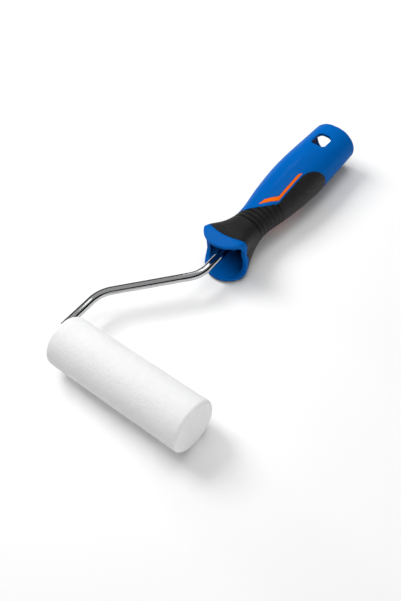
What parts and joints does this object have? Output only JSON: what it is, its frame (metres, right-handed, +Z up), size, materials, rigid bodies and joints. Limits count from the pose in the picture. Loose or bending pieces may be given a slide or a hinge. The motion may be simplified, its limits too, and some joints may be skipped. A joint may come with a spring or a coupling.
{
  "type": "paint roller",
  "caption": "Mini paint roller with a closed-end white foam cover on a bent chromed wire frame and a blue and black two-component handle with a flared guard",
  "frame": {"origin": "middle of the footprint, on the table that the roller lies on", "axes": "+X along the roller towards its closed end, +Y along the handle towards its butt, +Z up from the table"},
  "size_m": [0.1216, 0.2766, 0.0364],
  "materials": {
    "chrome_wire": "bright chromed wire",
    "steel": "crimped zinc-plated steel",
    "nylon": "natural nylon",
    "blue_plastic": "satin moulded polypropylene",
    "black_grip": "fine-textured soft overmould",
    "orange_plastic": "satin inlay",
    "core_plastic": "moulded polypropylene",
    "white_foam": "fine open-cell foam"
  },
  "bodies": {
    "frame": {"wire_frame": "chrome_wire", "stop_collar": "steel", "thrust_washer": "nylon", "handle_core": "blue_plastic", "soft_grip": "black_grip", "accent_stripe_top": "orange_plastic", "accent_stripe_bottom": "orange_plastic"},
    "bearing": {"bearing_liner": "nylon"},
    "cover": {"foam_sleeve": "white_foam", "foam_end_disc": "white_foam", "core_tube": "core_plastic", "core_end_plug": "core_plastic", "inner_bush": "nylon", "outer_bush": "nylon"}
  },
  "joints": [
    {"name": "cover_release", "type": "slide", "parent": "frame", "child": "bearing", "axis": [1, 0, 0], "range_m": [0, 0.11]},
    {"name": "roller_spin", "type": "hinge", "parent": "bearing", "child": "cover", "pos_m": [0.0058, -0.12015, 0.0182], "axis": [1, 0, 0], "continuous": true}
  ]
}
